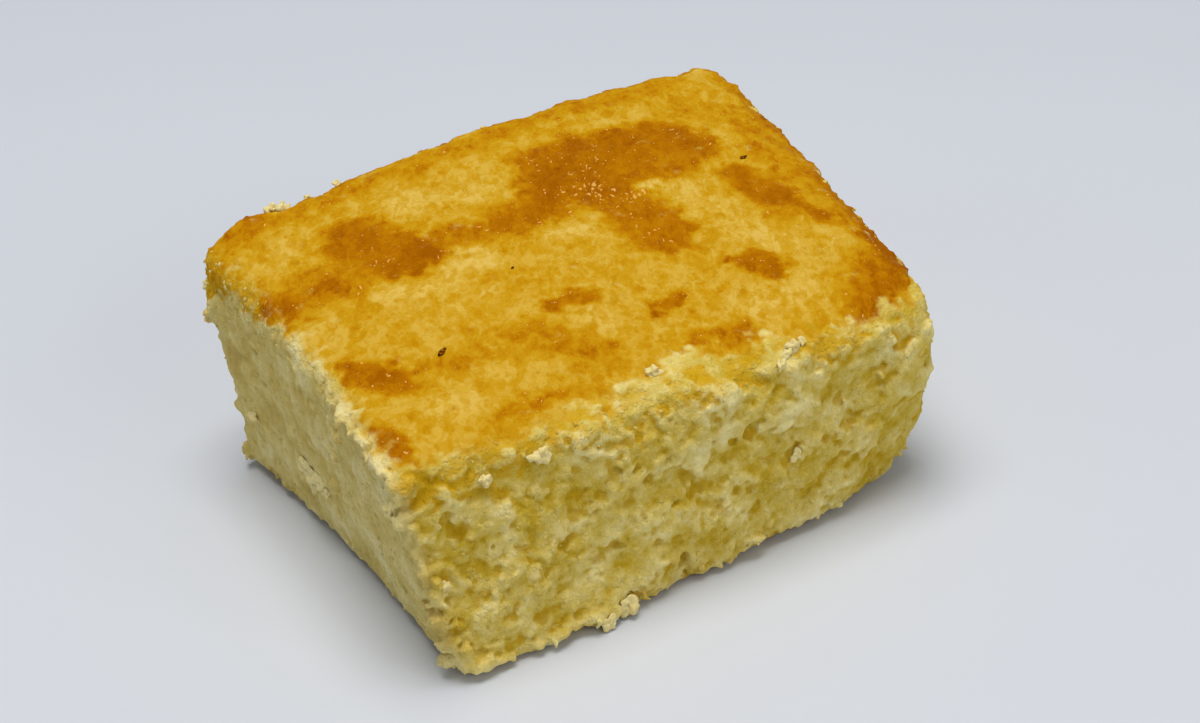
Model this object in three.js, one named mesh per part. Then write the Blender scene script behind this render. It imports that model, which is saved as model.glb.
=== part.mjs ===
// Cornbread square: one hand-cut block of yellow cornbread, standing on its flat baked underside.
// The crust on top is crowned and highest at the back right corner. The four sides are cut crumb: they lean,
// bow and carry crags. The front right foot is worn under, and the front edge of the underside is chipped.
// Millimetres, +Z up. X runs along the long front side, Y from the front to the back.
// The origin is the middle of the bounding box, on the underside.
import * as THREE from "three";
import { ImprovedNoise } from "three/addons/math/ImprovedNoise.js";
import { mergeVertices } from "three/addons/utils/BufferGeometryUtils.js";

// Driving dimensions of the plain block that the piece is formed from
const LENGTH = 78.3; // along X
const DEPTH = 65.1; // along Y
const HEIGHT = 33.5; // before each corner takes its own height
const CELL = 1.95; // about how long one edge of the surface net is

const CRUST_RADIUS = 2.6; // rounding of the crust's edge
const FOOT_RADIUS = 1.2; // rounding of the underside's edge

// How each corner differs from the block: the crust's height there, the radius of its upright edge, how far the
// underside's corner is moved (foot), how far the crust then hangs past the foot (over), and how far the corner
// bellies out halfway up.
const CORNERS = {
  frontLeft: { height: 31.5, radius: 3.2, foot: [0, 0], over: [-5, 5.3], belly: [-1, 0.3] },
  frontRight: { height: 30.4, radius: 6.5, foot: [-1.1, 3.9], over: [-1.1, -4.6], belly: [1.9, -1.4] },
  backRight: { height: 39, radius: 5.5, foot: [9.4, 2.1], over: [3.3, 0], belly: [0, 0] },
  backLeft: { height: 35.8, radius: 3.4, foot: [2.7, 0.4], over: [-2.9, 1.7], belly: [-0.4, 0] },
};

// How far the middle of each side bows out past its corners, at the foot and at the crust, and how far the
// crust's edge arches up there.
const SIDES = {
  front: { foot: 1.9, crust: 1, arch: -1.5 },
  right: { foot: 0.4, crust: 0.1, arch: 1 },
  back: { foot: 0.8, crust: 1.8, arch: 2.7 },
  left: { foot: -1.3, crust: -1.4, arch: 0.5 },
};
const SWELL = 0.8; // how far the middle of the crust swells above what its edges give it

// Places where the cut crumb is pushed in or drawn out, in the block's frame
const MARKS = {
  frontChip: { at: [-5.5, -34, 0.6], reach: 3.9, push: [0.2, 3.2, 2.8] },
  wornFoot: { at: [37, -28, 1.5], reach: 8, push: [-1.2, 1, 0.6] },
  leftCrumb: { at: [-38.5, 31, 26.5], reach: 4.4, push: [-1.5, 0.3, 0] },
};

// Crags: the wavelength and depth of each octave, and how strongly each face carries them
const CRAGS = [
  { size: 12, depth: 0.8 },
  { size: 6.5, depth: 0.75 },
  { size: 4.2, depth: 0.5 },
];
const ROUGHNESS = { front: 1, right: 0.9, back: 1, left: 0.55, crust: 0.35 };
const CORNER_BLEND = 0.5; // how near to 45 degrees a normal is shared by two sides
const CRUST_BLEND = [0.35, 0.8]; // the normal's upward part where a side starts and ends turning into crust
const CRAG_START = 3; // height over which the crags come in above the flat underside
const NOISE_ORIGIN = new THREE.Vector3(7.3, 2.1, 5.7);

const noise = new ImprovedNoise();
const { clamp, lerp, smoothstep } = THREE.MathUtils;

// Blends a number that each corner has over the plan. s and t run from -1 to 1 along X and Y.
function overPlan(value, s, t) {
  const alongX = (s + 1) / 2;
  const alongY = (t + 1) / 2;
  const front = lerp(value(CORNERS.frontLeft), value(CORNERS.frontRight), alongX);
  const back = lerp(value(CORNERS.backLeft), value(CORNERS.backRight), alongX);
  return lerp(front, back, alongY);
}

// Rounds the block's edges: what stands outside an inner box is drawn in to an ellipsoid.
function rounded(p) {
  const radius = overPlan((c) => c.radius, p.x / (LENGTH / 2), p.y / (DEPTH / 2));
  const margin = new THREE.Vector3(radius, radius, p.z > HEIGHT / 2 ? CRUST_RADIUS : FOOT_RADIUS);
  const inner = new THREE.Vector3(
    clamp(p.x, margin.x - LENGTH / 2, LENGTH / 2 - margin.x),
    clamp(p.y, margin.y - DEPTH / 2, DEPTH / 2 - margin.y),
    clamp(p.z, margin.z, HEIGHT - margin.z),
  );
  const out = p.clone().sub(inner).divide(margin);
  return inner.add(out.normalize().multiply(margin));
}

// Leans, bellies, bows and crowns the rounded block.
function formed(p) {
  const s = p.x / (LENGTH / 2);
  const t = p.y / (DEPTH / 2);
  const up = p.z / HEIGHT;
  const waist = 4 * up * (1 - up); // 1 halfway up, 0 at the foot and at the crust
  const middleX = 1 - s * s;
  const middleY = 1 - t * t;
  const back = (t + 1) / 2;
  const right = (s + 1) / 2;
  const bow = (side) => lerp(side.foot, side.crust, up);
  const corner = (axis) =>
    overPlan((c) => c.foot[axis] + up * c.over[axis] + waist * c.belly[axis], s, t);
  const arch =
    middleX * lerp(SIDES.front.arch, SIDES.back.arch, back) +
    middleY * lerp(SIDES.left.arch, SIDES.right.arch, right) +
    middleX * middleY * SWELL;
  return new THREE.Vector3(
    p.x + corner(0) + middleY * lerp(-bow(SIDES.left), bow(SIDES.right), right),
    p.y + corner(1) + middleX * lerp(-bow(SIDES.front), bow(SIDES.back), back),
    up * (overPlan((c) => c.height, s, t) + arch),
  );
}

// Pushes p by the marks within whose reach it lies, each fading out smoothly at its reach.
function marked(p) {
  const q = p.clone();
  for (const { at, reach, push } of Object.values(MARKS)) {
    const away = p.distanceTo(new THREE.Vector3(...at)) / reach;
    const share = Math.max(1 - away * away, 0) ** 2;
    q.addScaledVector(new THREE.Vector3(...push), share);
  }
  return q;
}

// How strongly a face with normal n carries the crags.
function roughness(n) {
  const acrossX = n.x > 0 ? ROUGHNESS.right : ROUGHNESS.left;
  const acrossY = n.y > 0 ? ROUGHNESS.back : ROUGHNESS.front;
  const facing = smoothstep(Math.abs(n.y) - Math.abs(n.x), -CORNER_BLEND, CORNER_BLEND);
  const side = lerp(acrossX, acrossY, facing);
  return lerp(side, ROUGHNESS.crust, smoothstep(n.z, ...CRUST_BLEND));
}

// How far the crags stand out or in at p, along its normal n.
function crag(p, n) {
  let height = 0;
  for (const { size, depth } of CRAGS) {
    const at = p.clone().divideScalar(size).add(NOISE_ORIGIN);
    height += depth * noise.noise(at.x, at.y, at.z);
  }
  return height * roughness(n) * smoothstep(p.z, 0, CRAG_START);
}

// Moves every point of the net by a function of its place and its normal.
function reshape(net, move) {
  const place = net.getAttribute("position");
  const normal = net.getAttribute("normal");
  const p = new THREE.Vector3();
  const n = new THREE.Vector3();
  for (let i = 0; i < place.count; i++) {
    p.fromBufferAttribute(place, i);
    n.fromBufferAttribute(normal, i);
    const q = move(p, n);
    place.setXYZ(i, q.x, q.y, Math.max(q.z, 0));
  }
  net.computeVertexNormals();
}

// The whole piece as one closed surface.
function breadGeometry() {
  const cells = [LENGTH, DEPTH, HEIGHT].map((side) => Math.round(side / CELL));
  const block = new THREE.BoxGeometry(LENGTH, DEPTH, HEIGHT, ...cells);
  block.translate(0, 0, HEIGHT / 2);
  block.deleteAttribute("normal");
  block.deleteAttribute("uv");
  const net = mergeVertices(block, CELL / 1000);
  net.computeVertexNormals();
  reshape(net, (p) => marked(formed(rounded(p))));
  reshape(net, (p, n) => p.clone().addScaledVector(n, crag(p, n)));
  net.computeBoundingBox();
  const middle = net.boundingBox.getCenter(new THREE.Vector3());
  net.translate(-middle.x, -middle.y, 0);
  return net;
}

const crumb = new THREE.MeshStandardMaterial({ color: 0xd9b65a, roughness: 0.85, metalness: 0 });
const cornbread = new THREE.Mesh(breadGeometry(), crumb);
cornbread.name = "cornbread";

const part = new THREE.Group();
part.add(cornbread);

export default part;
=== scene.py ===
"""Cornbread square: one hand-cut block of yellow cornbread, browned on top, with rough crumbly sides.

Every place and size in the tables is in millimetres, in the part's own frame: X along the long front side,
Y from the front to the back, Z up from the plate. What goes to Blender is in metres.
"""

import math

import bmesh
import bpy
import numpy as np
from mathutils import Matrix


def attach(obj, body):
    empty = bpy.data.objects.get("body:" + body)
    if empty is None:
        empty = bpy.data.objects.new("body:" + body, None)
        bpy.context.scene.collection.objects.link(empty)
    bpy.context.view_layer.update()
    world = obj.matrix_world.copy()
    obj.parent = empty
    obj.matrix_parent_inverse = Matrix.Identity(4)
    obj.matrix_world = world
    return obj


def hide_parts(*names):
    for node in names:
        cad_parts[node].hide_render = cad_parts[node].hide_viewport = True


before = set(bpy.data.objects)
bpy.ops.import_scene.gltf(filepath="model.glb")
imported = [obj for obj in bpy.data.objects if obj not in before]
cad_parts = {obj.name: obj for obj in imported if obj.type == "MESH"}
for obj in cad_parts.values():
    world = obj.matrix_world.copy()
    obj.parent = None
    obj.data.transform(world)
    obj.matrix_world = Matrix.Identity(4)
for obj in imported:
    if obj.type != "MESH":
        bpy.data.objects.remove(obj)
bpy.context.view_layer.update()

import openvdb
from bpy.props import FloatProperty, FloatVectorProperty, IntProperty, PointerProperty
from bpy.types import NodeSocket, Operator, Panel, PropertyGroup
from mathutils import Matrix, Vector, noise

bl_info = {
    "name": "Cornbread Square",
    "version": (1, 0, 0),
    "blender": (4, 5, 0),
    "location": "3D View > Sidebar > Cornbread",
    "description": "Builds a square of yellow cornbread with its crust, crumb and loose crumbs",
    "category": "Mesh",
}

MM = 0.001

# ---- What the bread is like, place by place ----

# Browned patches of the crust: from, to, half width, how brown, how soft the edge is
PATCHES = {
    "west_patch": ((-24.8, 17.4), (-23, 9.6), 4.7, 0.62, 0.8),
    "west_patch_foot": ((-23, 8), (-19.6, 7.2), 2.2, 0.5, 0.8),
    "west_band": ((-39, 10.8), (-30, 9.8), 3.8, 0.36, 1.5),
    "west_end": ((-40.6, 12.8), (-40.8, 10.4), 1.5, 0.48, 0.6),
    "west_end_low": ((-42.1, 6.6), (-42, 6.1), 0.7, 0.5, 0.3),
    "west_join": ((-18.5, 9.3), (-8, 8.2), 2.4, 0.46, 1.2),
    "west_join_dark": ((-5.5, 8.4), (-1, 8), 3.2, 0.5, 1.4),
    "great_patch": ((7.2, 13.6), (22.4, 13), 7.6, 0.58, 1.2),
    "great_patch_north": ((5, 20), (11, 21.5), 2.6, 0.42, 1.2),
    "great_patch_core": ((7, 14.5), (25, 15.5), 4, 0.22, 2),
    "great_patch_west": ((-2, 9), (4, 13), 3, 0.36, 1.2),
    "great_patch_east": ((28, 16), (28.5, 10), 1.6, 0.36, 1.2),
    "south_lobe": ((9.4, 4), (9.8, -4.8), 4.6, 0.58, 0.9),
    "east_patch": ((28, 1.5), (29.8, -6.5), 2.6, 0.62, 0.7),
    "east_patch_west": ((26.6, -1), (27.6, -9.5), 1.4, 0.36, 1.2),
    "east_tail": ((30, -5), (31.2, -13.2), 1.1, 0.6, 0.7),
    "round_spot": ((16.6, -16.4), (17.4, -18), 2.6, 0.58, 0.4),
    "right_spot": ((0.8, -17.6), (3.6, -18.2), 1.3, 0.56, 0.5),
    "middle_spot": ((-11.8, -10.6), (-7, -12.6), 1.4, 0.58, 0.5),
    "near_left": ((-39.8, -9), (-37.2, -14.4), 2.4, 0.57, 0.6),
    "near_left_north": ((-41, -6.4), (-40.4, -8), 0.9, 0.56, 0.5),
    "near_left_corner": ((-44.8, -20.5), (-43.9, -27), 1.3, 0.64, 0.5),
    "right_end": ((26, -29.5), (33, -25.5), 3.4, 0.46, 1.6),
    "right_end_core": ((22.5, -31.5), (29.5, -30.5), 2, 0.36, 1.1),
    "right_edge": ((34.6, -18), (33.6, -26), 1.1, 0.46, 0.6),
    "mottle_middle": ((-18, -14.5), (-12.5, -22), 3, 0.26, 1.4),
    "mottle_right": ((1, -25.5), (7, -27.5), 1.9, 0.44, 0.8),
    "mottle_left": ((-33, -13.5), (-24, -15), 1.6, 0.14, 1.3),
    "mottle_near": ((-31, -26), (-16, -27), 1, 0.28, 0.8),
    "left_spot": ((-41.2, 14.6), (-40.8, 14.2), 0.5, 0.5, 0.3),
    "left_spot_low": ((-39.4, 6), (-39, 5.6), 0.8, 0.44, 0.4),
}

# Stretches of the crust that are more golden, or paler where the strength is below 0, laid out as PATCHES
TINTS = {
    "golden_back": ((-38, 30), (36, 29.6), 2.2, 0.4, 1.5),
    "golden_far_corner": ((31, 25), (37.5, 14), 4.6, 0.2, 2.4),
    "golden_right": ((36.5, 10), (35, -18), 3.2, 0.38, 1.6),
    "golden_back_left": ((-38, 26), (-31, 28), 3, 0.2, 2),
    "golden_west": ((-37, 17), (-31, 16), 2.2, 0.14, 1.8),
    "golden_south": ((-33, 4), (-20, -9), 2, 0.1, 2),
    "pale_north_west": ((-16, 20.5), (-4, 15.8), 3.2, -0.16, 1.4),
    "pale_middle": ((-29, 2.6), (-14, 2.8), 2.6, -0.24, 1.2),
    "pale_south": ((-4, 1.2), (2.5, 0), 1.8, -0.22, 1),
    "pale_east": ((18.5, 2), (20.5, -10), 3.2, -0.12, 1.2),
    "pale_east_low": ((22.5, -14.5), (29, -18), 2.4, -0.14, 1.2),
    "pale_right": ((10, -23), (20, -25), 2.6, -0.16, 1.6),
    "pale_near": ((-9, -17), (-3, -22), 2.4, -0.14, 1.4),
    "pale_front": ((-35, -22), (-27, -23), 2, -0.14, 1.2),
    "pale_south_west": ((-28, -4), (-18, -3.4), 1.6, -0.12, 1.4),
    "pale_west": ((-38, 21), (-35, 22), 2, -0.12, 1.5),
    "pale_left_edge": ((-43.6, -14), (-42.2, 5), 1.1, -0.26, 0.8),
    "pale_far": ((31.5, 14), (36, 8), 1.6, -0.12, 1.1),
    "pale_north": ((13, 24), (21, 22.8), 1.2, -0.16, 0.9),
    "pale_fleck": ((13.2, 4.9), (14.8, 5.4), 1, -0.7, 0.4),
}

# Where painted highlights go on the crust: glints of fat painted into its colour, which also get a real coat
# there, laid out as PATCHES
PAINTED_GLINTS = {
    "great_patch_west": ((1.5, 11), (7, 8), 1.4, 1, 1),
    "great_patch_middle": ((8, 8), (11.5, 3.4), 2.2, 1, 1.2),
    "great_patch_north": ((9.5, 12.4), (14, 16.5), 1.8, 0.7, 1.2),
    "great_patch_far": ((3.5, 19.5), (6, 21), 1.4, 0.7, 1),
    "south_lobe": ((6.5, -2), (9, -3.6), 1.6, 0.6, 1),
    "near_left_corner": ((-44.6, -21), (-43.8, -25), 1, 0.6, 0.6),
    "west_patch": ((-27, 10.5), (-25, 9.5), 1.2, 0.6, 0.8),
}

# Where the crust ends along the left side: Y and X of the points of that line
LEFT_EDGE = [
    (-30, -48), (-19, -47), (-16, -43.6), (-4, -43.2), (3, -43.2), (8, -44.6), (14, -47), (30, -48),
]
# Where the crust ends along the front: X and Y of the points of that line
FRONT_EDGE = [
    (-48, -29.4), (-36, -29.8), (-20, -29), (-5, -29.6), (10, -31), (22, -33.6),
    (27, -34), (30, -32.4), (33.5, -28.6), (37, -25), (40, -24),
]

# The corner at the back left, where the crust is pressed down over the side
CRUSTED_CORNER = (-44, 33)

# Golden stains in the crumb just under the crust: middle, radius, strength
STAINS = {
    "under_crust_1": ((-17.4, -28.5, 30.3), 3.2, 0.85),
    "under_crust_2": ((-31.8, -31.1, 27.1), 2.6, 0.7),
    "under_crust_3": ((-42.9, -30.8, 26), 3.6, 0.75),
    "under_crust_corner": ((-38, -31, 26.6), 3.2, 0.65),
    "under_crust_4": ((15.3, -33, 28.8), 3, 0.7),
    "under_crust_5": ((-3.1, -31.6, 29), 3, 0.7),
    "under_crust_6": ((-24.5, -30.8, 28.6), 2.6, 0.6),
    "streak_1": ((-32.9, -31.3, 23.7), 1.5, 0.75),
    "streak_2": ((-30.2, -31.1, 25.3), 1.5, 0.75),
    "middle_stain": ((5.6, -34.4, 22.5), 2.6, 0.4),
    "right_stain": ((27.9, -34.6, 25), 3, 0.45),
}

# Pits that stand out on the front face: middle across and up, half width, half height
FRONT_PITS = {
    "great_pit": (-5.7, 15.3, 1.7, 1.2),
    "pit_2": (-21.8, 18.9, 1, 0.6),
    "pit_3": (-23.9, 17.2, 0.8, 0.5),
    "pit_4": (-15.8, 16.8, 0.6, 0.6),
    "pit_5": (-13.1, 25.9, 0.7, 0.7),
    "pit_6": (-16.2, 24.9, 0.9, 0.4),
    "pit_7": (-6.3, 23.8, 0.8, 0.5),
    "pit_8": (-0.5, 17.4, 0.7, 0.4),
    "pit_9": (-31.3, 15.4, 0.9, 0.9),
    "pit_10": (-29.9, 11, 0.7, 0.8),
    "pit_11": (-27.5, 15.6, 0.6, 0.4),
    "pit_12": (-24.8, 14.2, 0.6, 0.4),
    "pit_13": (-12.5, 9.2, 0.7, 0.4),
    "pit_14": (-32.9, 23.7, 1.1, 0.6),
    "pit_15": (-16.1, 2.7, 0.8, 0.6),
    "pit_16": (2.9, 8.2, 1, 0.5),
    "pit_17": (-2.9, 10.5, 1, 0.4),
    "pit_18": (-14.4, 14, 0.6, 0.4),
    "pit_19": (9.7, 14.7, 0.9, 0.5),
    "pit_20": (15.4, 14.3, 0.8, 0.5),
    "pit_21": (21.1, 9.3, 0.9, 0.5),
    "pit_22": (17.3, 19.7, 0.7, 0.5),
    "pit_23": (23.8, 20.5, 0.8, 0.5),
    "pit_24": (27.9, 24.6, 0.9, 0.5),
    "pit_25": (-43.2, 27.2, 1.1, 0.8),
    "pit_26": (-39.6, 20.8, 1.1, 1),
    "pit_27": (-36.6, 27.8, 1, 0.6),
    "pit_28": (-38.4, 11.1, 1.1, 0.6),
    "pit_29": (2.5, 11.5, 0.9, 0.4),
    "pit_30": (-25, 14.1, 0.7, 0.5),
    "pit_31": (-20.8, 9.4, 0.9, 0.5),
    "pit_32": (5.6, 14.8, 1.1, 0.4),
    "pit_33": (-34, 7.5, 1.2, 0.7),
    "pit_34": (-30.5, 5.2, 0.9, 0.6),
}

# The chip out of the foot of the front face
CHIP = {"middle": (-8.4, -34.2, 4.2), "radii": (1.0, 2.0, 1.7)}

# Pale crumbs and flakes that lie on the bread: middle, half sizes, turn in degrees
FLAKES = {
    "front_crumb": ((-27.7, -31.4, 26.8), (1.25, 0.8, 1), 0),
    "front_flake": ((10.8, -32.6, 29.3), (0.9, 0.6, 0.8), -15),
    "front_flake_middle": ((9.6, -32.8, 28.6), (0.8, 0.6, 0.7), 20),
    "front_flake_low": ((8.2, -33.2, 27.8), (0.9, 0.6, 0.9), 30),
    "front_flake_end": ((12.3, -32.7, 29.6), (0.6, 0.5, 0.5), 60),
    "middle_crumb": ((-8.7, -28.6, 30.8), (0.9, 0.8, 0.7), 0),
    "right_crumb": ((10, -34.6, 13.9), (0.9, 0.6, 0.7), 0),
    "corner_crumb": ((-35.3, -30.8, 26.2), (0.8, 0.6, 0.7), 40),
    "corner_crumb_low": ((-46.3, -26.6, 24.1), (0.8, 0.8, 0.8), 0),
    "left_flake": ((-41.6, 5.6, 10.9), (0.7, 1.7, 1.3), 0),
    "left_flake_high": ((-41.6, 6.9, 12.2), (0.6, 1.2, 0.9), 0),
    "left_flake_back": ((-41.5, 8.2, 10.8), (0.5, 1.2, 0.9), 0),
    "left_flake_low": ((-41.6, 5.4, 9.3), (0.6, 1.1, 0.9), 0),
    "left_flake_front": ((-41.7, 3.4, 11.3), (0.6, 1.3, 1.1), 0),
    "left_flake_small": ((-41.7, 1.8, 10.4), (0.4, 0.9, 0.7), 0),
    "left_crumb": ((-41.3, 23.1, 12.3), (0.6, 0.9, 0.6), 0),
    "back_crumb": ((-28.4, 33.6, 38.8), (1.2, 0.8, 0.85), 10),
    "back_crumb_beside": ((-30.4, 33.3, 38.3), (0.8, 0.7, 0.7), 50),
    "back_crumb_small": ((-20.8, 34, 39.4), (0.6, 0.5, 0.6), 0),
    "back_crumb_low": ((-24.6, 34, 38.8), (0.4, 0.4, 0.35), 0),
    "side_crumb": ((-42.9, 32.2, 24.6), (1, 0.9, 0.9), 0),
    "side_crumb_high": ((-41.8, 32, 29.4), (0.8, 0.8, 0.7), 0),
    "foot_crumb": ((-42.7, -31.9, 14.2), (0.7, 0.6, 0.7), 0),
    "hanging_crumb": ((-17.6, -35.4, 1.7), (1.2, 0.9, 1.5), 0),
    "hanging_crumb_small": ((-21.4, -35.3, 1.2), (0.9, 0.6, 0.8), 0),
}

# Burnt specks in the crust: middle, half sizes, turn in degrees
SPECKS = {
    "long_speck": ((-28.9, -11.2, 33.6), (0.75, 0.36, 0.16), 35),
    "round_speck": ((31.4, 4.7, 36.7), (0.5, 0.46, 0.18), 0),
    "faint_speck": ((-11.9, -1.4, 35.7), (0.26, 0.18, 0.1), 10),
}

# Corners and rims that are fuller: middle, half sizes
FILLS = {
    "far_corner": ((42.5, 30.2, 36.2), (3.1, 3.1, 2.5)),
    "back_left_rim": ((-33.5, 31.8, 36.3), (3.2, 1.3, 1)),
}

# Lumps that stand out of the cut sides: how many, smallest and largest radius, how far they stand out
LUMPS = [
    (60, 1.4, 2.6, 0.14),
    (900, 0.4, 0.8, 0.15),
]
# Crumbs half broken off along the cut edges, laid out as a row of LUMPS
EDGE_CRUMBS = (520, 0.4, 1.1, 0.4)
# Where they gather: middle, reach, how much thicker they lie there
BROKEN_PLACE = ((-43, 31, 27.5), 3.2, 2.6)
# Curds that the cut sides are made of: about how wide, how unevenly they stand out, how round they are,
# how much of that the smooth left side lacks, how much they colour the crumb, paler where a curd stands out
# and darker where it sinks, partly painted light and shade
CURDS = [
    (4.6, 0.38, 0.46, 0.8, 0.65),
    (2.2, 0.15, 0.27, 0.6, 0.3),
    (1.15, 0.11, 0.26, -0.4, 0.2),
    (0.75, 0.07, 0.22, -0.7, 0.15),
]
# Pits in the cut sides: how many, smallest and largest half width
PITS = [
    (130, 0.5, 1.1),
    (320, 0.25, 0.5),
]
# Pores of the cut sides: wavelength, how rare, depth
PORES = [(4.4, 1.4, 0.4)]
# Relief of the crust: wavelength, height
CRUST_RELIEF = [(9, 0.12), (3.4, 0.07), (1.4, 0.03)]
# Relief of the crust's turned-down edges: wavelength, height
RIM_RELIEF = [(1.7, 0.1), (0.95, 0.13)]
CRUMB_KINDS = 5  # how many different shapes the clinging crumbs have
SHARPNESS = 18  # how sharply one curd meets the next
RAGGED = (0.6, 1.8, 1.8, 0.3)  # how much more unevenly the curds of each size stand out along the cut edges

# The camera: where it stands, in millimetres, and its axes
CAMERA_PLACE = (-155.89, -247.66, 182.99)
CAMERA_RIGHT = (0.8273, -0.5597, -0.0484)
CAMERA_UP = (0.3125, 0.3869, 0.8676)

# The lights: name, place in metres, width and depth, share of the main light's strength, tint
LIGHTS = [
    ("left_light", (-1.1, 0.1, 0.35), (0.6, 0.4), 0.06, (0.72, 0.82, 1.0)),
    ("main_light", (-0.08, -0.02, 1.0), (0.6, 0.6), 1.0, (1.0, 0.97, 0.92)),
    ("front_light", (0.2, -1.1, 0.6), (0.8, 0.5), 0.36, (1.0, 0.97, 0.93)),
]
WORLD_STRENGTH = 0.3
SKY = (0.86, 0.9, 1.0, 1)
FLOOR_HALF = 3.0  # metres

NET_MARGIN = 1.6  # how far the net of cubes reaches past the bread
BAND = 10  # cells on each side of the surface in which distances are known
FACET_BLUR = 0.85  # takes the flat facets out of the plain solid
RELIEF_BLUR = 0.17  # takes the steps of the net out of the relief
PIT_DEPTH = 0.36
# Pinholes: how many in the crust and in the underside's skin
CRUST_PINHOLES = 90
SKIN_PINHOLES = 500

# How light goes into the crumb: colour by colour, how far in metres, how it bends and how it shines
SCATTER_RADIUS = (1.0, 0.75, 0.35)
SCATTER_REACH = 0.0007
CRUMB_IOR = 1.42
CRUMB_SHINE = 0.01
FAT_ROUGHNESS = 0.22
# Height of the fine relief in the materials
BREAD_BUMP = 0.14
LOOSE_BUMP = 0.08
SPECK_BUMP = 0.05


def linear(red, green, blue):
    """A colour as a screen shows it, each part from 0 to 255, as linear light."""
    parts = [part / 255 for part in (red, green, blue)]
    return tuple(p / 12.92 if p <= 0.04045 else ((p + 0.055) / 1.055) ** 2.4 for p in parts)


# ---- Numbers on a grid ----


def smoothstep(low, high, value):
    """0 below low, 1 above high and a soft step between them. low may be the greater one."""
    t = np.clip((value - low) / (high - low), 0, 1)
    return t * t * (3 - 2 * t)


def spread(field, axis, count, step):
    """The field with one axis drawn out softly to count cells, its knots lying step cells apart."""
    at = np.arange(count) / step + 1
    base = np.floor(at).astype(int)
    t = (at - base).astype(np.float32)
    weights = (
        (1 - t) ** 3 / 6,
        (3 * t**3 - 6 * t**2 + 4) / 6,
        (-3 * t**3 + 3 * t**2 + 3 * t + 1) / 6,
        t**3 / 6,
    )
    shape = [1, 1, 1]
    shape[axis] = count
    return sum(
        np.take(field, base + offset, axis=axis) * weight.reshape(shape)
        for offset, weight in zip((-1, 0, 1, 2), weights)
    )


def blurred_along(field, axis, radius):
    """The field blurred along one axis over a radius in cells."""
    reach = math.ceil(2.6 * radius)
    weights = np.exp(-0.5 * (np.arange(-reach, reach + 1) / radius) ** 2).astype(np.float32)
    weights /= weights.sum()
    edges = [(0, 0)] * 3
    edges[axis] = (reach, reach)
    padded = np.moveaxis(np.pad(field, edges, mode="edge"), axis, 0)
    count = field.shape[axis]
    total = sum(weight * padded[start : start + count] for start, weight in enumerate(weights))
    return np.moveaxis(total, 0, axis)


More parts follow.
